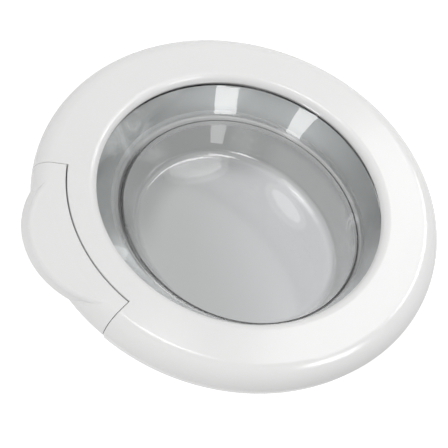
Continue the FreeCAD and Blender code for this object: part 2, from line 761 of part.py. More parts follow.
def make_leaf():
    """Bridge in front of the barrel, an ear on each side of it, and a screwed foot beside each ear."""
    top = leaf_bridge_d + leaf_wall
    parts = []
    for side in (1.0, -1.0):
        z0, z1 = sorted((side * ear_low(), side * (ear_low() + ear_width)))
        parts.append(prism([(hinge_x - ear_back, pad_d), (leaf_x1, pad_d), (leaf_x1, pad_d + leaf_wall),
                            (leaf_bridge_x, hinge_d), (leaf_bridge_x, top), (hinge_x, top),
                            (hinge_x - ear_back, hinge_d)], z0, z1))
        parts.append(rod(barrel_r, hinge_x, hinge_d, z0, z1))
        f0, f1 = sorted((side * ear_low(), side * leaf_half_height))
        foot = block(leaf_x0, leaf_x1, pad_d, pad_d + leaf_wall, f0, f1)
        outer = [e for e in foot.Edges if e.BoundBox.YLength > 0.9 * leaf_wall
                 and abs(abs(e.BoundBox.Center.z) - leaf_half_height) < 0.1]
        parts.append(foot.makeFillet(leaf_corner_r, outer))
    bridge = block(hinge_x, leaf_bridge_x, leaf_bridge_d, top, -ear_low() - overlap, ear_low() + overlap)
    body = union(bridge, parts)
    cuts = [rod(hinge_pin_r + press_fit, hinge_x, hinge_d, -rim_r, rim_r)]
    for x, z in hinge_places():
        cuts.append(post(leaf_screw_r + run_fit, x, z, pad_d - overlap, pad_d + leaf_wall + overlap))
    return body.cut(Part.makeCompound(cuts))


save(make_outer_frame(), "outer_frame")
save(make_inner_frame(), "inner_frame")
save(make_glass(), "glass_bowl")
save(make_gasket(), "glass_gasket")
save(make_handle(), "handle")
save(rod(handle_pin_r, handle_pin_x, handle_pin_d, -handle_pin_half_length, handle_pin_half_length),
     "handle_pin")
save(make_carrier(), "latch_carrier")
save(make_hook(), "latch_hook")
cheek_out = cheek_z + cheek_wall
save(headed_pin(hook_pin_r, hook_pin_x, hook_pin_d, -cheek_out - hook_pin_tail, cheek_out,
                hook_pin_head_r, hook_pin_head, -cheek_out - 1.3 * clip_wall, clip_wall), "hook_pin")
save(clip(hook_pin_r, hook_pin_x, hook_pin_d, -cheek_out - 1.2 * clip_wall, 0.8 * clip_wall), "hook_pin_clip")
save(make_spring(), "hook_spring")
save(Part.makeCompound([screw(x, z, screw_r, screw_head_r, pad_d + carrier_base - rear_d - well_depth)
                        for x, z in carrier_places()]), "carrier_screws")
save(make_leaf(), "hinge_leaf")
save(make_bracket(), "hinge_bracket")
ear_top = ear_low() + ear_width
save(headed_pin(hinge_pin_r, hinge_x, hinge_d, -ear_top - hinge_pin_tail, ear_top,
                hinge_pin_head_r, hinge_pin_head, -ear_top - 1.5 * clip_wall, 1.2 * clip_wall), "hinge_pin")
save(clip(hinge_pin_r, hinge_x, hinge_d, -ear_top - 1.4 * clip_wall, clip_wall), "hinge_pin_clip")
save(make_bush(1), "hinge_bush_upper")
save(make_bush(-1), "hinge_bush_lower")
save(Part.makeCompound([screw(x, z, leaf_screw_r, leaf_screw_head_r, pad_d + leaf_wall - rear_d - well_depth)
                        for x, z in hinge_places()]), "hinge_screws")
save(Part.makeCompound([screw(p.x, p.z, screw_r, screw_head_r, frame_screw_length) for p in boss_places()]),
     "frame_screws")
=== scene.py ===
import math

import bmesh
import bpy
from bpy.props import FloatProperty, FloatVectorProperty, PointerProperty
from mathutils import Matrix, Vector


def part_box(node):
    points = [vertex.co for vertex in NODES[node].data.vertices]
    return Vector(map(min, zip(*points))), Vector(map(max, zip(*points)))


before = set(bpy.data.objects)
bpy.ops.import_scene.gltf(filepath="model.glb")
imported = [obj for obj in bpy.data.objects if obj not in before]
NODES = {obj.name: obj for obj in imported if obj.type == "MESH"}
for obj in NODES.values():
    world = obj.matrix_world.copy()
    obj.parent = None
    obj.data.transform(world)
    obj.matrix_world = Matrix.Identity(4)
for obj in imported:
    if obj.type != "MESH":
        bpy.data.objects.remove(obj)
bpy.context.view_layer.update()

bl_info = {
    "name": "Washing Machine Door",
    "version": (1, 0, 0),
    "blender": (4, 5, 0),
    "location": "View3D > Sidebar > Door",
    "description": "Dresses the door's ring, lever, glass, latch and hinge, and sets its stage",
    "category": "Object",
}

# The door hangs in the frame with its front toward -Y, the lever at +X, the hinge at -X and its top at +Z
WHITE = (1.0, 1.0, 1.0, 1.0)


def colour(name, description, default):
    """Colour that a user may change in the sidebar."""
    return FloatVectorProperty(name=name, description=description, default=default, size=3,
                               min=0.0, max=1.0, subtype="COLOR")


class DoorColours(bpy.types.PropertyGroup):
    """Colours of the door's materials."""

    shell: colour("Shell", "White plastic of the front ring and the lever", (0.86, 0.86, 0.855))
    shell_dust: colour("Shell dust", "Specks on the front ring and the lever", (0.55, 0.54, 0.52))
    rear: colour("Rear ring", "Grey plastic of the rear ring", (0.76, 0.77, 0.77))
    rear_dust: colour("Rear dust", "Specks on the rear ring", (0.6, 0.59, 0.56))
    # Painted shade and light: the glass tints from here to the pale floor are greys by place, darker on the
    # wall and lighter on some sides, for the shaded surroundings seen through the glass
    glass_neck: colour("Glass neck", "Tint of the glass before the rear ring's collar", (0.78, 0.79, 0.79))
    neck_lit: colour("Clear neck", "Tint of the neck's lower hinge side", (0.93, 0.94, 0.94))
    neck_lit_most: colour("Clearest neck", "Tint of the neck at the top and the lever", (0.96, 0.97, 0.97))
    # Darker patches on the neck, and painted shade toward the step on its lower side and at its upper hinge
    # side
    shade_and_patches: colour("Smoke", "Handling marks on the neck", (0.1, 0.1, 0.1))
    glass_wall: colour("Glass wall", "Tint of the bowl's wall", (0.295, 0.302, 0.302))
    glass_lit_wall: colour("Lit wall", "Tint of the wall's deep hinge side", (0.355, 0.362, 0.362))
    glass_floor: colour("Glass floor", "Tint of the bowl's floor toward the lever", (0.45, 0.46, 0.46))
    glass_pale: colour("Pale floor", "Tint of the bowl's floor toward the hinge", (0.585, 0.595, 0.605))
    streaks: colour("Streaks", "Pale wisps on the glass", (0.92, 0.93, 0.93))
    glass_shadow: colour("Glass shadow", "Share of the light that the glass lets through", (0.92, 0.93, 0.93))
    rubber: colour("Rubber", "Gasket between ring and glass", (0.055, 0.055, 0.054))
    # Grey of the gasket behind its dark front band, which is painted shadow of the gap under the ring's lip
    flank: colour("Bloom", "Grey bloom of the rubber toward the glass", (0.42, 0.42, 0.42))
    steel: colour("Steel", "Plated pins and screws", (0.54, 0.54, 0.53))
    dark_steel: colour("Dark steel", "Blackened clips", (0.10, 0.10, 0.10))
    zinc: colour("Zinc", "Cast latch pieces", (0.46, 0.46, 0.45))
    aluminium: colour("Aluminium", "Cast hinge halves", (0.56, 0.56, 0.55))
    bush: colour("Bush", "Plain bearing plastic", (0.72, 0.70, 0.64))


class DoorStage(bpy.types.PropertyGroup):
    """Camera, floor and light."""

    lens: FloatProperty(name="Lens", description="Focal length", default=112.5, unit="CAMERA")
    sensor: FloatProperty(name="Sensor", description="Width of the sensor", default=36.0, unit="CAMERA")
    bearing: FloatProperty(name="Bearing", description="Turn of the opening's far side about the door axis",
                           default=math.radians(221.75), subtype="ANGLE")
    tilt: FloatProperty(name="Tilt", description="Angle between the line of sight and the door axis",
                        default=math.radians(35.37), subtype="ANGLE")
    roll: FloatProperty(name="Roll", description="Turn of the frame about the line of sight",
                        default=math.radians(21.07), subtype="ANGLE")
    aim: FloatVectorProperty(name="Aim", description="Middle of the opening in the ring's lip",
                             default=(0.0, -0.031, 0.0), unit="LENGTH")
    offset: FloatVectorProperty(name="Offset", description="Aim point right of, below and beyond the camera",
                                default=(0.0174, -0.0275, 1.4018), unit="LENGTH")
    floor_height: FloatProperty(name="Floor", description="Height of the floor under the hung door",
                                default=-0.58, unit="LENGTH")
    floor_reach: FloatProperty(name="Floor reach", description="Half of the floor's side", default=9.0,
                               unit="LENGTH")
    floor_colour: colour("Floor colour", "White of the floor", (0.85, 0.85, 0.85))
    ambient: FloatProperty(name="Ambient", description="Level of the even studio light", default=1.12)


def settings():
    """Colours and stage as the sidebar has them."""
    return bpy.context.scene.door_colours, bpy.context.scene.door_stage


def rgba(value):
    """Opaque colour for a shader's socket."""
    return (value[0], value[1], value[2], 1.0)


class Nodes:
    """Short way to fill a node tree: each method adds nodes and gives the socket that comes out."""

    def __init__(self, tree):
        self.tree = tree

    def feed(self, node, inputs):
        """Link a node's inputs to sockets, and set those that have plain values."""
        for name, value in inputs.items():
            if isinstance(value, bpy.types.NodeSocket):
                self.tree.links.new(value, node.inputs[name])
            else:
                node.inputs[name].default_value = value

    def add(self, kind, inputs=None, **options):
        """New node, with its options and its inputs."""
        made = self.tree.nodes.new(kind)
        for name, value in options.items():
            setattr(made, name, value)
        self.feed(made, inputs or {})
        return made

    def maths(self, operation, a, b=0.0, clamp=False):
        return self.add("ShaderNodeMath", {0: a, 1: b}, operation=operation, use_clamp=clamp).outputs[0]

    def times(self, a, b):
        return self.maths("MULTIPLY", a, b)

    def plus(self, a, b):
        return self.maths("ADD", a, b)

    def less(self, a, b):
        return self.maths("SUBTRACT", a, b)

    def without(self, mask, other):
        """Mask with another one taken out of it."""
        return self.maths("SUBTRACT", mask, other, clamp=True)

    def most(self, first, *others):
        """Highest of several values."""
        for other in others:
            first = self.maths("MAXIMUM", first, other)
        return first

    def blend(self, factor, a, b):
        """Colour between two colours."""
        return self.add("ShaderNodeMix", {0: factor, 6: a, 7: b}, data_type="RGBA").outputs[2]

    def noise(self, where, scale, detail, distortion=0.0):
        return self.add("ShaderNodeTexNoise", {"Vector": where, "Scale": scale, "Detail": detail,
                                               "Distortion": distortion}).outputs[0]

    def ramp(self, value, none, full):
        """Smooth mask between the value where it is nothing and the one where it is full."""
        made = self.add("ShaderNodeMapRange", {0: value, 1: none, 2: full, 3: 0.0, 4: 1.0},
                        interpolation_type="SMOOTHSTEP")
        return made.outputs[0]

    def along(self, where, direction):
        """Distance of a point along a direction."""
        made = self.add("ShaderNodeVectorMath", {0: where, 1: direction}, operation="DOT_PRODUCT")
        return made.outputs["Value"]

    def distance(self, where, point):
        return self.add("ShaderNodeVectorMath", {0: where, 1: point}, operation="DISTANCE").outputs["Value"]


class Finish(Nodes):
    """Nodes of a new material, with its shader, its output and the place on the piece."""

    def __init__(self, name):
        self.material = bpy.data.materials.new(name)
        self.material.use_nodes = True
        super().__init__(self.material.node_tree)
        self.tree.nodes.clear()
        self.out = self.add("ShaderNodeOutputMaterial")
        self.shader = self.add("ShaderNodeBsdfPrincipled")
        self.show(self.shader.outputs[0])
        self.where = self.add("ShaderNodeTexCoord").outputs["Object"]

    def show(self, surface):
        """Let the material show a shader in place of the one before."""
        self.feed(self.out, {"Surface": surface})

    def place(self, tree, inputs):
        """Node group placed in the material with its own values."""
        return self.add("ShaderNodeGroup", {"Vector": self.where, **inputs}, node_tree=tree).outputs

    def shaded(self, base, amount):
        """Base colour made lighter or darker by a signed value."""
        value = self.plus(amount, 1.0)
        return self.add("ShaderNodeHueSaturation", {"Color": rgba(base), "Value": value}).outputs[0]

    def moulded(self, base, grain, unevenness, mottle):
        """Moulded skin, and a base colour mottled by it."""
        skin = self.place(moulded_skin(), {"Grain": grain, "Unevenness": unevenness})
        return skin, self.shaded(base, self.times(skin["Unevenness"], mottle))

    def dusted(self, base, skin, dust, share):
        """Base colour with the skin's specks of dust."""
        return self.blend(self.times(skin["Dust"], share), base, rgba(dust))

    def bump(self, height, depth):
        """Relief of the surface, as deep as stated in metres."""
        made = self.add("ShaderNodeBump", {"Height": height, "Distance": depth, "Strength": 1.0})
        self.feed(self.shader, {"Normal": made.outputs[0]})

    def toward(self, direction, none, full):
        """Mask that rises along a direction."""
        return self.ramp(self.along(self.where, direction), none, full)

    def near(self, centre, reach, core):
        """Mask that is full within a core about a point, and nothing past its reach."""
        return self.ramp(self.distance(self.where, centre), reach, core)


FLOAT = "NodeSocketFloat"
VECTOR = "NodeSocketVector"


def group(name, inputs, outputs, build):
    """Shader node group with named sockets, made once."""
    tree = bpy.data.node_groups.get(name)
    if tree:
        return tree
    tree = bpy.data.node_groups.new(name, "ShaderNodeTree")
    for in_out, sockets in (("INPUT", inputs), ("OUTPUT", outputs)):
        for socket, kind in sockets.items():
            tree.interface.new_socket(name=socket, in_out=in_out, socket_type=kind)
    n = Nodes(tree)
    entry = n.add("NodeGroupInput").outputs
    n.feed(n.add("NodeGroupOutput"), build(n, entry))
    return tree


# Skins: middle of a noise, scales and masks of clouds and specks, and the shares of metal's relief
NOISE_MIDDLE = 0.5
CLOUD_SCALE = 14.0
SPECK_SCALE = 260.0
SPECK_EDGE = (0.09, 0.02)
DUSTY_CLOUD = (0.48, 0.66)
PIT_SHARE = 0.6
SCRATCH_SHARE = 0.4


def moulded_skin():
    """Fine grain of a moulded face, with slow unevenness of gloss and a little settled dust."""
    def build(n, entry):
        where = entry["Vector"]
        cloud = n.noise(where, CLOUD_SCALE, detail=4.0)
        specks = n.add("ShaderNodeTexVoronoi", {"Vector": where, "Scale": SPECK_SCALE}).outputs["Distance"]
        return {
            "Height": n.noise(where, entry["Grain"], detail=3.0),
            "Unevenness": n.times(n.less(cloud, NOISE_MIDDLE), entry["Unevenness"]),
            "Dust": n.times(n.ramp(specks, *SPECK_EDGE), n.ramp(cloud, *DUSTY_CLOUD)),
        }
    return group("Moulded Skin", {"Vector": VECTOR, "Grain": FLOAT, "Unevenness": FLOAT},
                 {"Height": FLOAT, "Unevenness": FLOAT, "Dust": FLOAT}, build)


def metal_skin():
    """Pitted casting skin and fine scratches."""
    def build(n, entry):
        where = entry["Vector"]
        pits = n.noise(where, entry["Grain"], detail=6.0)
        stretched = n.add("ShaderNodeMapping", {"Vector": where, "Scale": entry["Scratch Scale"]}).outputs[0]
        lines = n.noise(stretched, 1.0, detail=5.0)
        height = n.plus(n.times(pits, PIT_SHARE), n.times(lines, SCRATCH_SHARE))
        return {"Height": height, "Shade": n.less(height, NOISE_MIDDLE)}
    return group("Metal Skin", {"Vector": VECTOR, "Grain": FLOAT, "Scratch Scale": VECTOR},
                 {"Height": FLOAT, "Shade": FLOAT}, build)


# Roughness of the mouldings, and how much a metal's shade changes its colour and its roughness
SHELL_ROUGHNESS = 0.16
COLLAR_ROUGHNESS = 0.1
PLATE_ROUGHNESS = 0.34
RUBBER_ROUGHNESS = 0.62
BUSH_ROUGHNESS = 0.5
METAL_MOTTLE = 1.1
METAL_UNEVENNESS = 0.6

# Distances from the door's axis between which the rear ring's smooth collar turns into its grained plate
PLATE_EDGE = (0.1535, 0.1560)

# Distances behind the gasket's front over which it turns from a dark band, painted shadow of the gap under
# the lip, to grey
SHADOW_BAND_EDGE = (0.0004, 0.0014)


def white_shell():
    """Glossy white moulding: faint orange peel, slow unevenness, a few dust specks."""
    colours, _ = settings()
    finish = Finish("white_shell")
    skin, base = finish.moulded(colours.shell, grain=520.0, unevenness=0.08, mottle=0.35)
    finish.feed(finish.shader, {
        "Base Color": finish.dusted(base, skin, colours.shell_dust, share=0.25),
        "Roughness": finish.plus(skin["Unevenness"], SHELL_ROUGHNESS),
        "IOR": 1.5,
    })
    finish.bump(skin["Height"], depth=0.00001)
    return finish.material


def rear_plastic():
    """Grey moulding: smooth and glossy on the collar round the glass, finely grained on the plate."""
    colours, _ = settings()
    finish = Finish("rear_plastic")
    skin, base = finish.moulded(colours.rear, grain=1500.0, unevenness=0.12, mottle=0.5)
    x, _, z = finish.add("ShaderNodeSeparateXYZ", {0: finish.where}).outputs
    radius = finish.maths("SQRT", finish.plus(finish.maths("POWER", x, 2.0), finish.maths("POWER", z, 2.0)))
    plate = finish.ramp(radius, *PLATE_EDGE)
    rough = finish.plus(finish.times(plate, PLATE_ROUGHNESS), COLLAR_ROUGHNESS)
    finish.feed(finish.shader, {
        "Base Color": finish.dusted(base, skin, colours.rear_dust, share=0.5),
        "Roughness": finish.plus(rough, skin["Unevenness"]),
    })
    finish.bump(finish.times(skin["Height"], plate), depth=0.00006)
    return finish.material


def gasket_rubber():
    """Dark rubber only in a band at its front edge, painted shadow of the gap under the ring's lip, and grey
    behind it.
    """
    colours, _ = settings()
    finish = Finish("gasket_rubber")
    skin, base = finish.moulded(colours.rubber, grain=1100.0, unevenness=0.2, mottle=1.0)
    lowest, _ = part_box("glass_gasket")
    flank = finish.toward((0.0, 1.0, 0.0), *(lowest[1] + depth for depth in SHADOW_BAND_EDGE))
    finish.feed(finish.shader, {
        "Base Color": finish.blend(flank, base, rgba(colours.flank)),
        "Roughness": finish.plus(skin["Unevenness"], RUBBER_ROUGHNESS),
    })
    finish.bump(skin["Height"], depth=0.00005)
    return finish.material


def bearing_plastic():
    """Matt plain plastic of the bushes."""
    colours, _ = settings()
    finish = Finish("bearing_plastic")
    skin, base = finish.moulded(colours.bush, grain=2200.0, unevenness=0.15, mottle=0.5)
    finish.feed(finish.shader, {
        "Base Color": base,
        "Roughness": finish.plus(skin["Unevenness"], BUSH_ROUGHNESS),
    })
    finish.bump(skin["Height"], depth=0.00003)
    return finish.material


def metal(name, base, grain, scratch, depth, rough):
    """Metal with a pitted and scratched skin, as deep as stated in metres."""
    finish = Finish(name)
    skin = finish.place(metal_skin(), {"Grain": grain, "Scratch Scale": scratch})
    finish.feed(finish.shader, {
        "Base Color": finish.shaded(base, finish.times(skin["Shade"], METAL_MOTTLE)),
        "Roughness": finish.plus(finish.times(skin["Shade"], METAL_UNEVENNESS), rough),
        "Metallic": 1.0,
    })
    finish.bump(skin["Height"], depth)
    return finish.material


# Normals of the two tilted planes of the bowl, its step and its floor
STEP_NORMAL = (0.07, 1.0, 0.0)
FLOOR_NORMAL = (0.17, 1.0, 0.0)

# Bands of the glass by depth along the step's normal: where a mask is nothing and where it is full
BANDS = {
    "neck_foot_bottom": (-0.008, 0.006),
    "neck_foot_lever": (-0.007, 0.002),
    "ledge_start": (0.0040, 0.0060),
    "top_step_start": (0.0070, 0.0100),
    "past_step": (0.0074, 0.0105),
    "ledge_end_lever": (0.0112, 0.0095),
    "ledge_end": (0.0185, 0.0150),
    "deep_wall": (0.020, 0.030),
    "top_step_end": (0.0340, 0.0260),
}

# Sides of the glass: a direction, and where along it a mask is nothing and where it is full
SIDES = {
    "floor": (FLOOR_NORMAL, 0.0475, 0.0522),
    "hinge_floor": ((-0.96, 0.0, 0.16), -0.060, 0.095),
    "hinge_wall": ((-0.99, 0.0, 0.13), 0.070, 0.098),
    "lever": ((0.94, 0.0, 0.34), 0.105, 0.125),
    "away_from_lever": ((1.0, 0.0, 0.0), 0.085, 0.040),
    "top": ((-0.2, 0.0, 0.98), 0.100, 0.125),
    "top_step": ((0.35, 0.0, 0.94), 0.070, 0.095),
    "bottom": ((-0.42, 0.0, -0.91), 0.050, 0.095),
    "bottom_floor": ((0.34, 0.0, -0.94), 0.025, 0.080),
    "lower_hinge": ((-0.62, 0.0, -0.78), 0.085, 0.135),
    "lower_lever": ((0.7, 0.0, -0.7), 0.070, 0.100),
}

# Spots on the glass: centre, the reach where a mask is nothing and the core where it is full
SPOTS = {
    "floor_middle": ((-0.0166, 0.0546, 0.0), 0.104, 0.076),
    "lower_streaks": ((0.075, -0.008, -0.112), 0.060, 0.015),
    "hinge_streaks": ((-0.134, 0.010, 0.036), 0.045, 0.012),
}

# Darker patches on the neck: centre, reach and strength, then their core and the painted shade toward the
# step on the neck's lower side; the last patch, on the upper hinge side, is painted shade
DARK_PATCHES = (
    ((0.107, -0.009, -0.071), 0.066, 0.29),
    ((0.055, -0.009, -0.117), 0.062, 0.19),
    ((0.123, -0.010, -0.036), 0.050, 0.29),
    ((-0.115, -0.012, 0.090), 0.070, 0.17),
)
PATCH_CORE = 0.020
FOOT_SHADE = 0.15

# Strengths of the other effects on the glass: painted shade on the floor's lower rim, painted light at the
# step's ledge and top, then streaks, haze and coat
RIM_SHADE = 0.68
LEDGE_LIGHT = 0.2
TOP_STEP_LIGHT = 0.85
STREAK_STRENGTH = 0.6
WISP_EDGE = (0.50, 0.63)
BOWL_HAZE = 0.13
STREAK_HAZE = 0.14
LEDGE_HAZE = 0.5
WALL_COAT = 0.4


def glass_masks(finish):
    """Masks of the bands, sides and spots of the glass, by name."""
    depth = finish.along(finish.where, STEP_NORMAL)
    masks = {name: finish.ramp(depth, *band) for name, band in BANDS.items()}
    masks.update({name: finish.toward(*side) for name, side in SIDES.items()})
    masks.update({name: finish.near(*spot) for name, spot in SPOTS.items()})
    return masks


def neck_light_and_shade(finish, colours, masks):
    """Grey neck, painted lighter at its lower hinge side, its top and the lever; painted shade toward the
    step on its lower side and at its upper hinge side, and darker patches toward the lever's lower side.
    """
    tint = finish.blend(masks["lower_hinge"], rgba(colours.glass_neck), rgba(colours.neck_lit))
    lever_foot = finish.times(masks["lever"], masks["neck_foot_lever"])
    tint = finish.blend(finish.most(lever_foot, masks["top"]), tint, rgba(colours.neck_lit_most))
    foot = finish.times(masks["bottom"], masks["neck_foot_bottom"])
    shade_and_patches = finish.times(foot, FOOT_SHADE)
    for centre, reach, strength in DARK_PATCHES:
        shade_and_patches = finish.most(shade_and_patches, finish.times(finish.near(centre, reach, PATCH_CORE), strength))
    return finish.blend(shade_and_patches, tint, rgba(colours.shade_and_patches))


def bowl_shade(finish, colours, masks):
    """Painted shade of the bowl: dark wall and paler floor, both painted lighter toward the hinge, with the
    floor's lower rim shaded.
    """
    lit = finish.times(masks["hinge_wall"], masks["deep_wall"])
    wall = finish.blend(lit, rgba(colours.glass_wall), rgba(colours.glass_lit_wall))
    floor = finish.blend(masks["hinge_floor"], rgba(colours.glass_floor), rgba(colours.glass_pale))
    rim = finish.times(finish.less(1.0, masks["floor_middle"]), masks["bottom_floor"])
    on_floor = finish.without(masks["floor"], finish.times(rim, RIM_SHADE))
    return finish.blend(on_floor, wall, floor)


def glass_ledge(finish, masks):
    """Mask of the step's ledge, wide away from the lever and narrow below it."""
    wide = finish.times(masks["ledge_end"], masks["away_from_lever"])
    narrow = finish.times(masks["ledge_end_lever"], masks["lower_lever"])
    return finish.times(masks["ledge_start"], finish.most(wide, narrow))


def glass_streaks(finish, masks):
    """Mask of pale wisps, on the neck by the lower edge and past the step by the hinge."""
    wisps = finish.noise(finish.where, scale=26.0, detail=5.0, distortion=2.4)
    on_neck = finish.without(masks["lower_streaks"], masks["past_step"])
    return finish.times(finish.most(on_neck, masks["hinge_streaks"]), finish.ramp(wisps, *WISP_EDGE))


def bowl_glass():
    """Pressed glass whose greys are painted shade and light: pale neck, step painted lighter, dark coated
    wall and paler floor, hazy past the step.
    """
    colours, _ = settings()
    finish = Finish("bowl_glass")
    masks = glass_masks(finish)
    ledge = glass_ledge(finish, masks)
    streaks = glass_streaks(finish, masks)
    top_step = finish.times(finish.times(masks["top_step_start"], masks["top_step_end"]), masks["top_step"])
    # Painted shade and light of the neck and the bowl, then painted light on the step's ledge and top
    tint = finish.blend(masks["past_step"], neck_light_and_shade(finish, colours, masks),
                        bowl_shade(finish, colours, masks))
    tint = finish.blend(finish.times(ledge, LEDGE_LIGHT), tint, WHITE)
    tint = finish.blend(finish.times(top_step, TOP_STEP_LIGHT), tint, WHITE)
    on_wall = finish.without(masks["past_step"], finish.plus(masks["floor"], ledge))
    finish.feed(finish.shader, {
        "Base Color": finish.blend(finish.times(streaks, STREAK_STRENGTH), tint, rgba(colours.streaks)),
        "Roughness": finish.most(finish.times(masks["past_step"], BOWL_HAZE),
                                 finish.times(streaks, STREAK_HAZE), finish.times(ledge, LEDGE_HAZE)),
        "Coat Weight": finish.times(on_wall, WALL_COAT),
        "IOR": 1.5,
        "Transmission Weight": 1.0,
    })
    through = finish.add("ShaderNodeBsdfTransparent", {"Color": rgba(colours.glass_shadow)}).outputs[0]
    shadow = finish.add("ShaderNodeLightPath").outputs["Is Shadow Ray"]
    mixed = finish.add("ShaderNodeMixShader", {0: shadow, 1: finish.shader.outputs[0], 2: through})
    finish.show(mixed.outputs[0])
    return finish.material


def dress(material, *names):
    """Give CAD nodes a finish in place of their plain one."""
    for name in names:
        for slot in NODES[name].material_slots:
            slot.material = material


class DOOR_OT_shell(bpy.types.Operator):
    """Finish the front ring and the lever"""
    bl_idname = "door.shell"
    bl_label = "Front Ring and Lever"

    def execute(self, context):
        dress(white_shell(), "outer_frame", "handle")
        return {"FINISHED"}


class DOOR_OT_glass(bpy.types.Operator):
    """Finish the glass bowl and its gasket"""
    bl_idname = "door.glass"
    bl_label = "Glass Bowl and Gasket"

    def execute(self, context):
        dress(bowl_glass(), "glass_bowl")
        dress(gasket_rubber(), "glass_gasket")
        return {"FINISHED"}


class DOOR_OT_rear(bpy.types.Operator):
    """Finish the rear ring"""
    bl_idname = "door.rear"
    bl_label = "Rear Ring"

    def execute(self, context):
        dress(rear_plastic(), "inner_frame")
        return {"FINISHED"}


class DOOR_OT_latch(bpy.types.Operator):
    """Finish the hook, its bracket and its spring"""
    bl_idname = "door.latch"
    bl_label = "Latch"

    def execute(self, context):
        colours, _ = settings()
        dress(metal("cast_zinc", colours.zinc, grain=420.0, scratch=(400.0, 400.0, 400.0),
                    depth=0.00010, rough=0.38), "latch_hook", "latch_carrier")
        dress(metal("spring_wire", colours.steel, grain=1800.0, scratch=(1200.0, 1200.0, 1200.0),
                    depth=0.00001, rough=0.28), "hook_spring")
        return {"FINISHED"}


class DOOR_OT_pins(bpy.types.Operator):
    """Finish the pins of lever, hook and hinge, and their clips"""
    bl_idname = "door.pins"
    bl_label = "Pins and Clips"

    def execute(self, context):
        colours, _ = settings()
        dress(metal("drawn_steel", colours.steel, grain=1500.0, scratch=(2600.0, 2600.0, 90.0),
                    depth=0.00001, rough=0.24), "handle_pin", "hook_pin", "hinge_pin")
        dress(metal("black_clip", colours.dark_steel, grain=1500.0, scratch=(900.0, 900.0, 900.0),
                    depth=0.00002, rough=0.42), "hook_pin_clip", "hinge_pin_clip")
        return {"FINISHED"}


class DOOR_OT_hinge(bpy.types.Operator):
    """Finish the two hinge halves and the bushes"""
    bl_idname = "door.hinge"
    bl_label = "Hinge"

    def execute(self, context):
        colours, _ = settings()
        dress(metal("cast_aluminium", colours.aluminium, grain=380.0, scratch=(300.0, 300.0, 300.0),
                    depth=0.00012, rough=0.40), "hinge_leaf", "hinge_bracket")
        dress(bearing_plastic(), "hinge_bush_upper", "hinge_bush_lower")
        return {"FINISHED"}


class DOOR_OT_screws(bpy.types.Operator):
    """Finish the screws"""
    bl_idname = "door.screws"
    bl_label = "Screws"

    def execute(self, context):
        colours, _ = settings()
        dress(metal("plated_screw", colours.steel, grain=1600.0, scratch=(1500.0, 200.0, 1500.0),
                    depth=0.00001, rough=0.26), "frame_screws", "carrier_screws", "hinge_screws")
        return {"FINISHED"}


def camera_axes(stage):
    """Right, down and forward of the photographed view, in the door's frame."""
    far = Vector((math.sin(stage.bearing), 0.0, math.sin(stage.bearing + math.pi / 2.0)))
    side = Vector((math.cos(stage.bearing), 0.0, math.cos(stage.bearing + math.pi / 2.0)))
    front = Vector((0.0, -1.0, 0.0))
    up = far * math.cos(stage.tilt) + front * math.sin(stage.tilt)
    forward = far * math.sin(stage.tilt) - front * math.cos(stage.tilt)
    right = side * math.cos(stage.roll) + up * math.sin(stage.roll)
    down = side * math.sin(stage.roll) - up * math.cos(stage.roll)
    return right, down, forward


def add_camera(stage):
    """Camera at the photograph's viewing angle."""
    right, down, forward = camera_axes(stage)
    data = bpy.data.cameras.new("photo_camera")
    data.sensor_width = stage.sensor
    data.lens = stage.lens
    data.clip_end = 50.0
    camera = bpy.data.objects.new("photo_camera", data)
    to_aim = right * stage.offset[0] + down * stage.offset[1] + forward * stage.offset[2]
    turn = Matrix((right, -down, -forward)).transposed().to_4x4()
    camera.matrix_world = Matrix.Translation(Vector(stage.aim) - to_aim) @ turn
    bpy.context.scene.collection.objects.link(camera)
    bpy.context.scene.camera = camera


# Lamps: name, place, target, direction of the long side, width and length, radiance and outline
RING_SOFTBOX = ("ring_softbox", (-0.648, -1.043, -0.281), (0.0, -0.035, 0.0), (0.5003, -0.5786, 0.6441),
                (0.292, 0.743), 3.2, "RECTANGLE")

# Windows that show in gloss only: small ones inside the bowl, and large ones in front of it
WINDOWS = (
    ("window_near", (-0.0386, 0.0102, 0.0387), (-0.048, -0.006, -0.1303), (-0.0187, 0.0284, -0.0017),
     (0.0268, 0.036), 8.0, "RECTANGLE"),
    ("window_side", (-0.0952, 0.0052, -0.0708), (-0.1147, -0.0037, -0.083), (-0.00875, 0.02805, -0.0063),
     (0.0135, 0.032), 7.8, "RECTANGLE"),
    ("window_well", (-0.0428, 0.0376, -0.099), (-0.0406, 0.030, -0.1173), (0.0, 0.0232, 0.0064),
     (0.0115, 0.0235), 2.8, "RECTANGLE"),
    ("window_far", (-0.84, -0.79, -0.145), (-0.03, 0.056, -0.105), (0.24, -0.32, 0.43),
     (0.15, 0.59), 8.0, "ELLIPSE"),
    ("window_front", (-0.10, -1.15, -0.20), (-0.11, 0.07, -0.03), (0.0, 0.0, 1.0),
     (0.2, 0.2), 8.0, "RECTANGLE"),
    ("window_arc", (-0.0297, 0.031, -0.1105), (-0.008, 0.053, -0.094), (-1.0, 0.17, 0.0),
     (0.018, 0.058), 1.5, "ELLIPSE"),
    ("window_arc_halo", (-0.0297, 0.031, -0.1075), (-0.008, 0.053, -0.091), (-1.0, 0.17, 0.0),
     (0.028, 0.072), 0.8, "ELLIPSE"),
    ("window_patch", (-0.1099, 0.0523, -0.0396), (-0.0934, 0.0675, -0.0288), (-0.3, 0.0, 0.95),
     (0.014, 0.046), 1.5, "ELLIPSE"),
    ("window_patch_halo", (-0.1079, 0.0523, -0.0386), (-0.0914, 0.0675, -0.0278), (-0.3, 0.0, 0.95),
     (0.026, 0.064), 0.7, "ELLIPSE"),
    ("window_high", (-0.46, -0.89, 0.49), (-0.042, 0.056, -0.107), (0.0, 0.0, 1.0),
     (0.3, 0.3), 8.0, "RECTANGLE"),
)


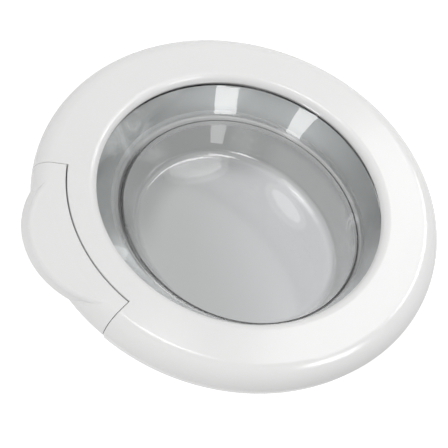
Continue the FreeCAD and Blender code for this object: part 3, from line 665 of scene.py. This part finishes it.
def add_lamp(name, location, target, along, size, radiance, outline, glossy_only=False):
    """Soft box that faces its target; its energy is a rectangle's of that size and radiance."""
    data = bpy.data.lights.new(name, "AREA")
    data.shape = outline
    data.size, data.size_y = size
    data.energy = radiance * math.pi * size[0] * size[1]
    lamp = bpy.data.objects.new(name, data)
    back = (Vector(location) - Vector(target)).normalized()
    side = Vector(along).cross(back).normalized()
    turn = Matrix((side, back.cross(side), back)).transposed().to_4x4()
    lamp.matrix_world = Matrix.Translation(location) @ turn
    lamp.visible_camera = False
    if glossy_only:
        lamp.visible_diffuse = False
        lamp.visible_transmission = False
    bpy.context.scene.collection.objects.link(lamp)
    return lamp


def keep_off(lamp, piece):
    """Leave a piece out of a lamp's light and reflection."""
    unlit = bpy.data.collections.new(lamp.name + "_unlit")
    unlit.objects.link(piece)
    unlit.collection_objects[0].light_linking.link_state = "EXCLUDE"
    lamp.light_linking.receiver_collection = unlit


# Side that the even light is stronger on, and how much it rises toward it
LIGHT_FROM = (0.246, -0.36, -0.90)
LIGHT_RISE = 0.80


def studio_world(level):
    """Even light, and plain white where the camera, glass or gloss looks past the door."""
    world = bpy.data.worlds.new("studio")
    world.use_nodes = True
    world.node_tree.nodes.clear()
    n = Nodes(world.node_tree)
    path = n.add("ShaderNodeLightPath").outputs
    seen = n.most(path["Is Camera Ray"], path["Is Glossy Ray"], path["Is Transmission Ray"])
    where = n.add("ShaderNodeTexCoord").outputs["Generated"]
    slope = n.times(n.along(where, LIGHT_FROM), LIGHT_RISE * level)
    lit = n.plus(slope, level)
    strength = n.add("ShaderNodeMix", {0: seen, 2: lit, 3: 1.0}, data_type="FLOAT").outputs[0]
    light = n.add("ShaderNodeBackground", {"Color": WHITE, "Strength": strength}).outputs[0]
    n.add("ShaderNodeOutputWorld", {"Surface": light})
    bpy.context.scene.world = world


# Floor: how much its colour varies, and the glow that lifts it to white for the camera
FLOOR_MOTTLE = 0.04
FLOOR_GLOW = 0.6


def floor_finish(stage):
    """White floor: full white to the camera, glass and gloss, and still shaded by the door."""
    finish = Finish("studio_floor")
    mottle = finish.less(finish.noise(finish.where, scale=3.0, detail=2.0), NOISE_MIDDLE)
    finish.feed(finish.shader, {
        "Base Color": finish.shaded(stage.floor_colour, finish.times(mottle, FLOOR_MOTTLE)),
        "Roughness": 0.8,
    })
    path = finish.add("ShaderNodeLightPath").outputs
    to_camera = finish.times(path["Is Camera Ray"], FLOOR_GLOW)
    glow = finish.add("ShaderNodeEmission", {"Color": WHITE, "Strength": to_camera}).outputs[0]
    both = finish.add("ShaderNodeAddShader", {0: finish.shader.outputs[0], 1: glow}).outputs[0]
    plain = finish.add("ShaderNodeEmission", {"Color": WHITE, "Strength": 1.0}).outputs[0]
    second = finish.most(path["Is Glossy Ray"], path["Is Transmission Ray"])
    finish.show(finish.add("ShaderNodeMixShader", {0: second, 1: both, 2: plain}).outputs[0])
    return finish.material


def add_floor(stage):
    """Plain floor under the hung door."""
    mesh = bpy.data.meshes.new("floor")
    bm = bmesh.new()
    bmesh.ops.create_grid(bm, x_segments=2, y_segments=2, size=stage.floor_reach,
                          matrix=Matrix.Translation((0.0, 0.0, stage.floor_height)))
    bm.to_mesh(mesh)
    bm.free()
    floor = bpy.data.objects.new("floor", mesh)
    mesh.materials.append(floor_finish(stage))
    bpy.context.scene.collection.objects.link(floor)


class DOOR_OT_stage(bpy.types.Operator):
    """Set the camera, the floor and the studio light"""
    bl_idname = "door.stage"
    bl_label = "Stage"

    def execute(self, context):
        _, stage = settings()
        context.scene.view_settings.view_transform = "Standard"
        add_camera(stage)
        add_floor(stage)
        studio_world(stage.ambient)
        keep_off(add_lamp(*RING_SOFTBOX), NODES["glass_bowl"])
        for window in WINDOWS:
            add_lamp(*window, glossy_only=True)
        return {"FINISHED"}


class DOOR_PT_panel(bpy.types.Panel):
    """Steps that dress the door"""
    bl_idname = "DOOR_PT_panel"
    bl_label = "Washing Machine Door"
    bl_space_type = "VIEW_3D"
    bl_region_type = "UI"
    bl_category = "Door"

    def draw(self, context):
        for operator in OPERATORS:
            self.layout.operator(operator.bl_idname)
        for values in settings():
            box = self.layout.box()
            for name in values.__annotations__:
                box.prop(values, name)


OPERATORS = (DOOR_OT_shell, DOOR_OT_glass, DOOR_OT_rear, DOOR_OT_latch, DOOR_OT_pins, DOOR_OT_hinge,
             DOOR_OT_screws, DOOR_OT_stage)
CLASSES = (DoorColours, DoorStage) + OPERATORS + (DOOR_PT_panel,)


def register():
    for cls in CLASSES:
        bpy.utils.register_class(cls)
    bpy.types.Scene.door_colours = PointerProperty(type=DoorColours)
    bpy.types.Scene.door_stage = PointerProperty(type=DoorStage)


def unregister():
    del bpy.types.Scene.door_stage
    del bpy.types.Scene.door_colours
    for cls in reversed(CLASSES):
        bpy.utils.unregister_class(cls)


def main():
    register()
    for operator in OPERATORS:
        family, name = operator.bl_idname.split(".")
        getattr(getattr(bpy.ops, family), name)()


if __name__ == "__main__":
    main()
